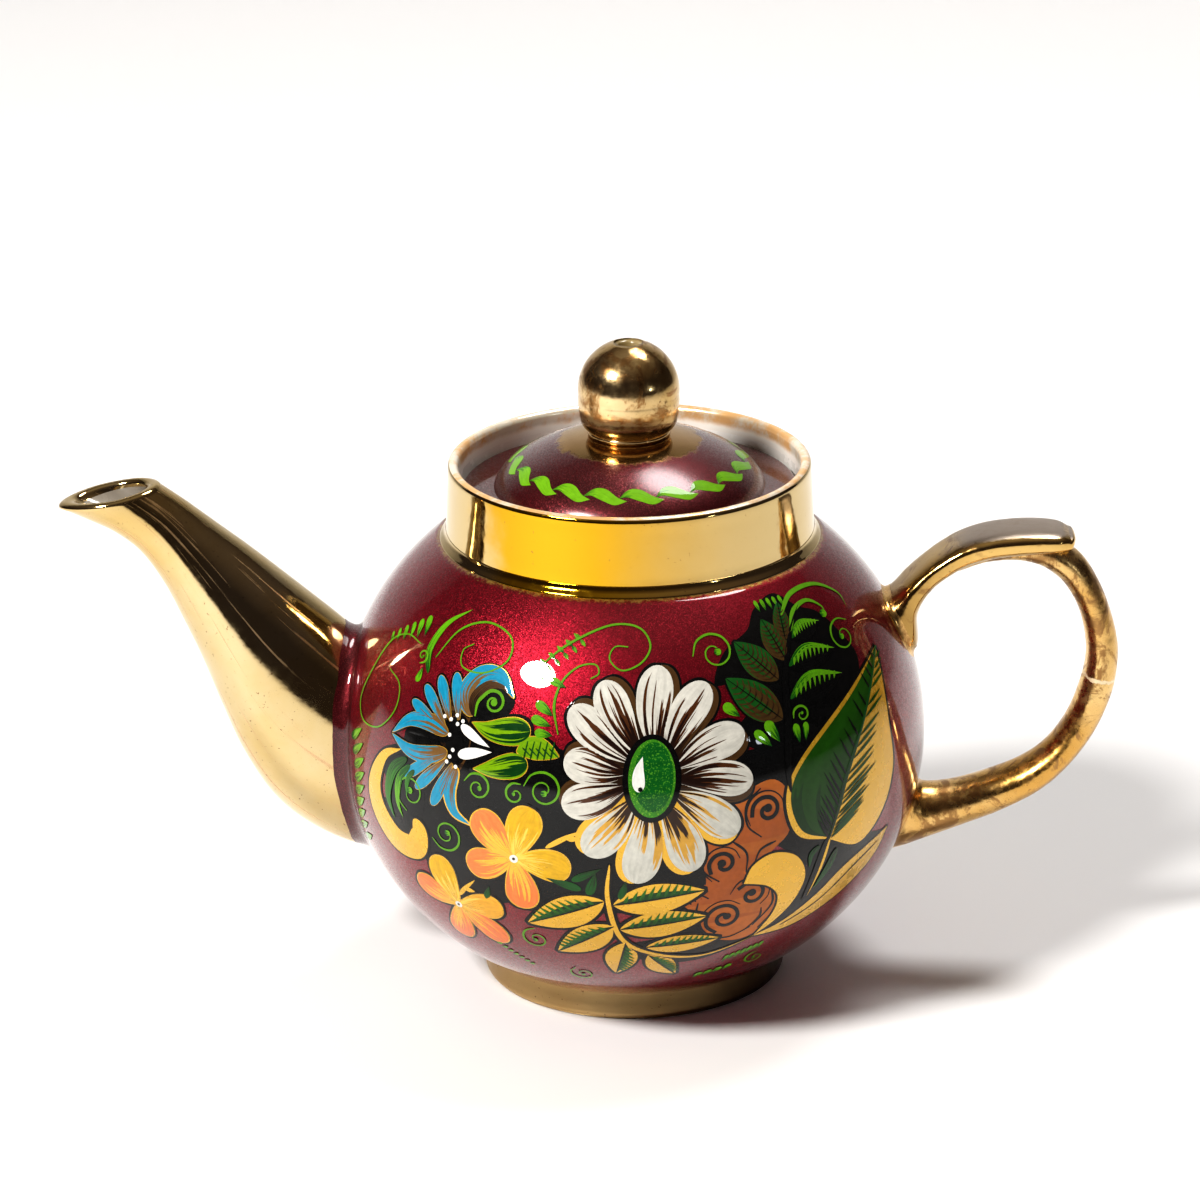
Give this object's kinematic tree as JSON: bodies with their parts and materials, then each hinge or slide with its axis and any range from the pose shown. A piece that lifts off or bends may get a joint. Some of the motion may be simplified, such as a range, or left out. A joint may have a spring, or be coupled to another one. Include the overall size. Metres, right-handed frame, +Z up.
{
  "type": "porcelain teapot",
  "caption": "Round porcelain teapot with a raised curved spout, a loop handle with a thumb rest and a lift-off lid, painted with flowers.",
  "frame": {"origin": "middle of the whole object's footprint box, on the surface it stands on; the pot's own axis is 9.75 mm towards the handle from it", "axes": "+Z up, +X from the spout to the handle, -Y the side that faces the viewer with the spout on the left"},
  "size_m": [0.2352, 0.13, 0.1466],
  "materials": {
    "lacquered_porcelain": "glossy burgundy lacquer with fine metallic flakes and painted flowers",
    "gilt_porcelain": "mirror-bright gold lustre",
    "white_glaze": "clear gloss glaze over white porcelain"
  },
  "bodies": {
    "pot": {"bowl": "lacquered_porcelain", "foot_ring": "gilt_porcelain", "neck_collar": "gilt_porcelain", "seat_ledge": "white_glaze", "spout": "gilt_porcelain", "spout_root_roll": "lacquered_porcelain", "handle_strap": "gilt_porcelain", "handle_loop": "gilt_porcelain", "handle_upper_roll": "lacquered_porcelain", "handle_lower_roll": "lacquered_porcelain"},
    "lid": {"lid_flange": "lacquered_porcelain", "lid_skirt": "white_glaze", "lid_dome": "lacquered_porcelain", "knob_bead": "gilt_porcelain", "lid_knob": "gilt_porcelain"}
  },
  "joints": [
    {"name": "lid_lift", "type": "slide", "parent": "pot", "child": "lid", "axis": [0, 0, 1], "range_m": [0, 0.06]}
  ]
}
